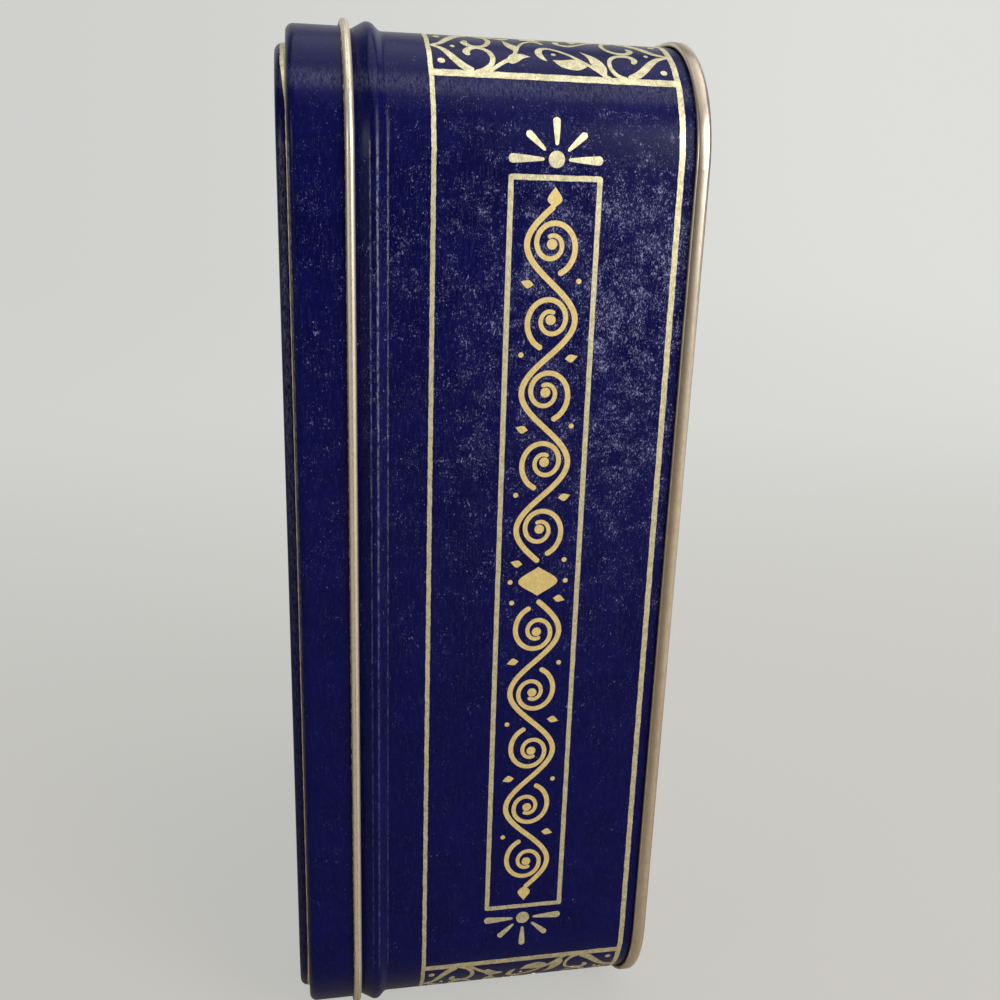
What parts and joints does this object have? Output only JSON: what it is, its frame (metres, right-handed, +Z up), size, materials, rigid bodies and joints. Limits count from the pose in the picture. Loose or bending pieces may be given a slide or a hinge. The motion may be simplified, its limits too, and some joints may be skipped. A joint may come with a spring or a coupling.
{
  "type": "slip-lid tin box",
  "caption": "Rectangular tinplate box with rounded corners, a lift-off slip lid with a rolled edge, a stop bead and a double-seamed base.",
  "frame": {"origin": "centre of the bounding box's bottom face, on the plane that the tin's lower short end stands on", "axes": "+Z up along the tin's length, as it stands on one short end; the lid faces -X and the base faces +X; Y runs across the tin's width"},
  "size_m": [0.0852, 0.1602, 0.2358],
  "materials": {
    "blue_enamel": "printed navy enamel, semi-gloss, finely scuffed",
    "gold_lacquer": "pale gold lacquer on tinplate"
  },
  "bodies": {
    "tin": {"wall_strip": "blue_enamel", "base_plate": "gold_lacquer"},
    "lid": {"lid_shell": "blue_enamel"}
  },
  "joints": [
    {"name": "lid_lift", "type": "slide", "parent": "tin", "child": "lid", "axis": [-1, 0, 0], "range_m": [0, 0.04]}
  ]
}
